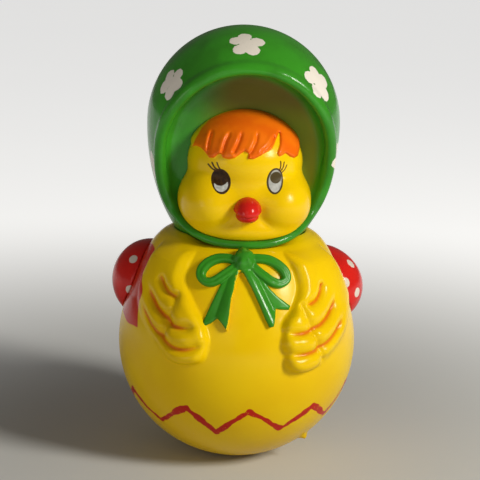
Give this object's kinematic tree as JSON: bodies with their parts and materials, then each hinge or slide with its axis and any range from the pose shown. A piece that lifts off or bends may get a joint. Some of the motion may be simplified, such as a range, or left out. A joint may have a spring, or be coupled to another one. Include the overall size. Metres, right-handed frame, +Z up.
{
  "type": "roly-poly chime toy",
  "caption": "Roly-poly chime toy: a chick in a bonnet, hollow moulded shells over a weighted round base, with a clapper that swings against chime rods.",
  "frame": {"origin": "centre of the small flat under the round base", "axes": "+Z up, the chick's face towards -Y, +X on the right when it is seen from the front"},
  "size_m": [0.0938, 0.0964, 0.163],
  "materials": {
    "yellow_plastic": "glossy moulded yellow plastic, painted red, orange and white in places",
    "green_plastic": "glossy green paint over moulded plastic, with small white flowers",
    "red_plastic": "glossy red paint over moulded plastic, with white dots",
    "cast_iron": "rough grey casting",
    "zinc_steel": "dull zinc-plated steel",
    "bright_steel": "drawn bright steel",
    "brass": "turned brass",
    "felt": "pressed red felt"
  },
  "bodies": {
    "shell": {"body_front_shell": "yellow_plastic", "body_rear_shell": "yellow_plastic", "base_plug": "yellow_plastic", "bonnet_front_shell": "green_plastic", "bonnet_rear_shell": "green_plastic", "face_shell": "yellow_plastic", "neck_ring": "yellow_plastic", "chin_bow": "green_plastic", "back_bow": "red_plastic", "ballast_weight": "cast_iron", "ballast_screw": "zinc_steel", "ballast_washer": "zinc_steel", "chime_plate": "zinc_steel", "chime_plate_screws": "zinc_steel", "damping_pad": "felt", "chime_rod_1": "bright_steel", "chime_rod_2": "bright_steel", "chime_rod_3": "bright_steel", "chime_rod_4": "bright_steel", "chime_rod_5": "bright_steel", "chime_rod_6": "bright_steel", "chime_rod_7": "bright_steel", "chime_rod_8": "bright_steel", "hanger_bracket": "zinc_steel", "hanger_bracket_screws": "zinc_steel", "pivot_lug": "zinc_steel", "pivot_pin": "bright_steel"},
    "link": {"swing_link": "brass"},
    "clapper": {"clapper_pin": "bright_steel", "clapper_stem": "bright_steel", "clapper_head": "brass", "clapper_nut": "zinc_steel"}
  },
  "joints": [
    {"name": "link_swing", "type": "hinge", "parent": "shell", "child": "link", "pos_m": [0, 0, 0.07], "axis": [1, 0, 0], "range_deg": [-16.5, 16.5]},
    {"name": "clapper_swing", "type": "hinge", "parent": "link", "child": "clapper", "pos_m": [0, 0, 0.064], "axis": [0, 1, 0], "range_deg": [-21.4, 21.4]}
  ]
}
